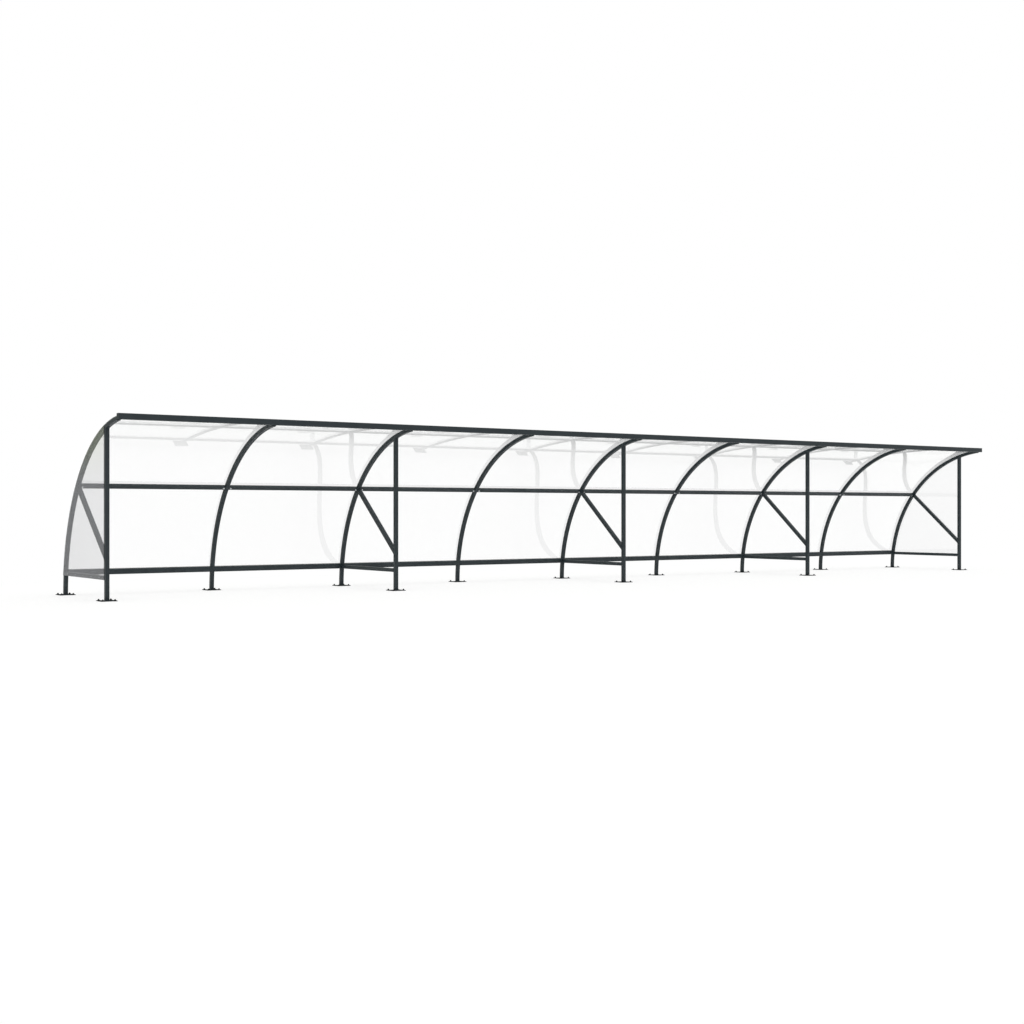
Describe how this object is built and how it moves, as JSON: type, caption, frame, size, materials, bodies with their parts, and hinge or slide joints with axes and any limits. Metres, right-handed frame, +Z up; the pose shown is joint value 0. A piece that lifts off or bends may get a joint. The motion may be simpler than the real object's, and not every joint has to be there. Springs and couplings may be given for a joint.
{
  "type": "bike shelter",
  "caption": "Free-standing open-front bike shelter with a curved clear roof and back on arched square tube hoops, a front beam and clear end panels.",
  "frame": {"origin": "middle of the ground area the shelter covers, on the ground", "axes": "+X runs along the shelter, +Y points to its closed back, +Z is up"},
  "size_m": [16.2, 2.137, 2.228],
  "materials": {
    "frame_paint": "anthracite grey powder coat, satin",
    "clear_sheet": "clear solid polycarbonate sheet, glossy",
    "zinc_fixings": "zinc plated screws and washers",
    "dark_fixings": "black coated nuts and studs",
    "rubber_seal": "black rubber washers and edge seal"
  },
  "bodies": {
    "root": {"hoop_1": "frame_paint", "hoop_2": "frame_paint", "hoop_3": "frame_paint", "hoop_4": "frame_paint", "hoop_5": "frame_paint", "hoop_6": "frame_paint", "hoop_7": "frame_paint", "hoop_8": "frame_paint", "hoop_9": "frame_paint", "post_1": "frame_paint", "brace_1": "frame_paint", "side_rail_1": "frame_paint", "post_2": "frame_paint", "brace_2": "frame_paint", "side_rail_2": "frame_paint", "post_3": "frame_paint", "brace_3": "frame_paint", "side_rail_3": "frame_paint", "post_4": "frame_paint", "brace_4": "frame_paint", "side_rail_4": "frame_paint", "post_5": "frame_paint", "brace_5": "frame_paint", "side_rail_5": "frame_paint", "roof_sheet_1": "clear_sheet", "roof_sheet_2": "clear_sheet", "roof_sheet_3": "clear_sheet", "roof_sheet_4": "clear_sheet", "roof_sheet_5": "clear_sheet", "roof_sheet_6": "clear_sheet", "roof_sheet_7": "clear_sheet", "roof_sheet_8": "clear_sheet", "left_end_panel": "clear_sheet", "right_end_panel": "clear_sheet", "mid_rails": "frame_paint", "bottom_rails": "frame_paint", "bottom_clamp_strip": "frame_paint", "front_beam": "frame_paint", "beam_end_caps": "frame_paint", "rear_base_plates": "frame_paint", "front_base_plates": "frame_paint"}
  },
  "joints": []
}
